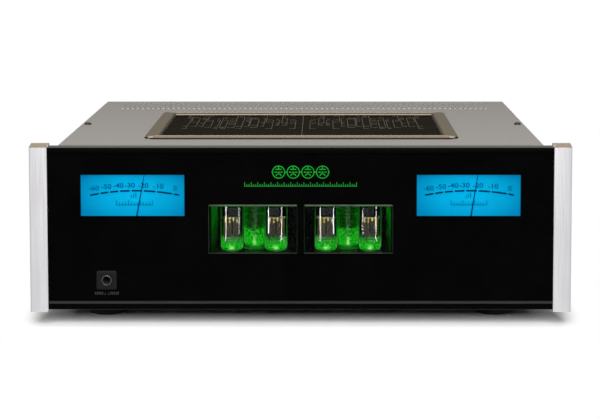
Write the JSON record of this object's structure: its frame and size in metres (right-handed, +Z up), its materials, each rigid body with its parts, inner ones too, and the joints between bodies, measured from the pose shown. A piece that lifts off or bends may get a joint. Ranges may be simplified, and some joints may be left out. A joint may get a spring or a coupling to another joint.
{
  "type": "tube preamplifier",
  "caption": "Stereo tube preamplifier chassis with a black glass front, two lit meters, tube windows, end caps, vented cover and rear connectors.",
  "frame": {"origin": "on the ground, under the middle of the whole part", "axes": "+X to the right seen from the front, +Y to the back, +Z up"},
  "size_m": [0.4444, 0.411, 0.1527],
  "materials": {
    "bare_aluminium": "brushed and clear anodised",
    "black_anodised": "black anodised, satin",
    "front_glass": "polished glass, black printed behind but for the windows",
    "black_steel": "matt black paint",
    "light_board": "white printed board with green lamps",
    "grey_bezel": "satin",
    "black_plastic": "moulded, matt",
    "lit_dial": "translucent dial, lit blue from behind",
    "pointer_black": "black paint",
    "bare_steel": "plain",
    "bay_steel": "satin nickel plated sheet",
    "board_green": "printed circuit board",
    "socket_ceramic": "unglazed",
    "tube_glass": "clear blown glass",
    "electrode_metal": "carbonised nickel",
    "cover_grey": "fine textured titanium grey paint",
    "frame_aluminium": "satin anodised, warm grey",
    "display_glass": "polished black glass, printed",
    "foot_rubber": "matt",
    "dark_screw": "black oxide",
    "can_sleeve": "shrink sleeve on aluminium cans",
    "relay_case": "moulded",
    "contact_brass": "gold plated"
  },
  "bodies": {
    "chassis": {"balanced_inputs": "black_plastic", "balanced_outputs": "black_plastic", "base_pan": "black_steel", "bottom_trim": "black_anodised", "centre_shield": "bay_steel", "control_connectors": "bare_steel", "display_frame": "frame_aluminium", "display_glass": "display_glass", "feet": "foot_rubber", "filter_capacitors": "can_sleeve", "foot_screws": "bare_steel", "front_glass": "front_glass", "front_subpanel": "black_steel", "ground_posts": "contact_brass", "headphone_bezel": "grey_bezel", "headphone_jack": "black_plastic", "input_relays": "relay_case", "left_cover_bracket": "bare_steel", "left_end_cap": "bare_aluminium", "left_line_board": "board_green", "left_meter_dial": "lit_dial", "left_meter_housing": "black_plastic", "left_meter_lamp_board": "light_board", "left_meter_movement": "bare_steel", "left_tube_bay": "bay_steel", "left_tube_board": "board_green", "line_board_standoffs": "bare_steel", "mark_light_board": "light_board", "phono_jacks": "contact_brass", "rear_panel": "cover_grey", "right_cover_bracket": "bare_steel", "right_end_cap": "bare_aluminium", "right_line_board": "board_green", "right_meter_dial": "lit_dial", "right_meter_housing": "black_plastic", "right_meter_lamp_board": "light_board", "right_meter_movement": "bare_steel", "right_tube_bay": "bay_steel", "right_tube_board": "board_green", "top_cover": "cover_grey", "top_screws": "dark_screw", "top_trim": "black_anodised", "tube_board_standoffs": "bare_steel", "tube_electrodes": "electrode_metal", "tube_envelopes": "tube_glass", "tube_sockets": "socket_ceramic"},
    "left_pointer": {"left_meter_pointer": "pointer_black"},
    "right_pointer": {"right_meter_pointer": "pointer_black"},
    "left_outer_latch": {"left_outer_input_latch": "bare_steel"},
    "left_inner_latch": {"left_inner_input_latch": "bare_steel"},
    "right_outer_latch": {"right_outer_input_latch": "bare_steel"},
    "right_inner_latch": {"right_inner_input_latch": "bare_steel"},
    "left_nut": {"left_ground_nut": "contact_brass"},
    "right_nut": {"right_ground_nut": "contact_brass"}
  },
  "joints": [
    {"name": "left_meter_swing", "type": "hinge", "parent": "chassis", "child": "left_pointer", "pos_m": [-0.13805, -0.1939, 0.0773], "axis": [0, 1, 0], "range_deg": [-52, 36], "stiffness_Nm_per_rad": 0.002},
    {"name": "right_meter_swing", "type": "hinge", "parent": "chassis", "child": "right_pointer", "pos_m": [0.13805, -0.1939, 0.0773], "axis": [0, 1, 0], "range_deg": [-52, 36], "stiffness_Nm_per_rad": 0.002},
    {"name": "left_outer_latch_press", "type": "slide", "parent": "chassis", "child": "left_outer_latch", "axis": [0, -1, 0], "range_m": [0, 0.0018], "stiffness_N_per_m": 500},
    {"name": "left_inner_latch_press", "type": "slide", "parent": "chassis", "child": "left_inner_latch", "axis": [0, -1, 0], "range_m": [0, 0.0018], "stiffness_N_per_m": 500},
    {"name": "right_outer_latch_press", "type": "slide", "parent": "chassis", "child": "right_outer_latch", "axis": [0, -1, 0], "range_m": [0, 0.0018], "stiffness_N_per_m": 500},
    {"name": "right_inner_latch_press", "type": "slide", "parent": "chassis", "child": "right_inner_latch", "axis": [0, -1, 0], "range_m": [0, 0.0018], "stiffness_N_per_m": 500},
    {"name": "left_ground_nut_turn", "type": "hinge", "parent": "chassis", "child": "left_nut", "pos_m": [-0.152, 0.1967, 0.0383], "axis": [0, 1, 0], "range_deg": [0, 720]},
    {"name": "right_ground_nut_turn", "type": "hinge", "parent": "chassis", "child": "right_nut", "pos_m": [0.152, 0.1967, 0.0383], "axis": [0, 1, 0], "range_deg": [0, 720]}
  ]
}
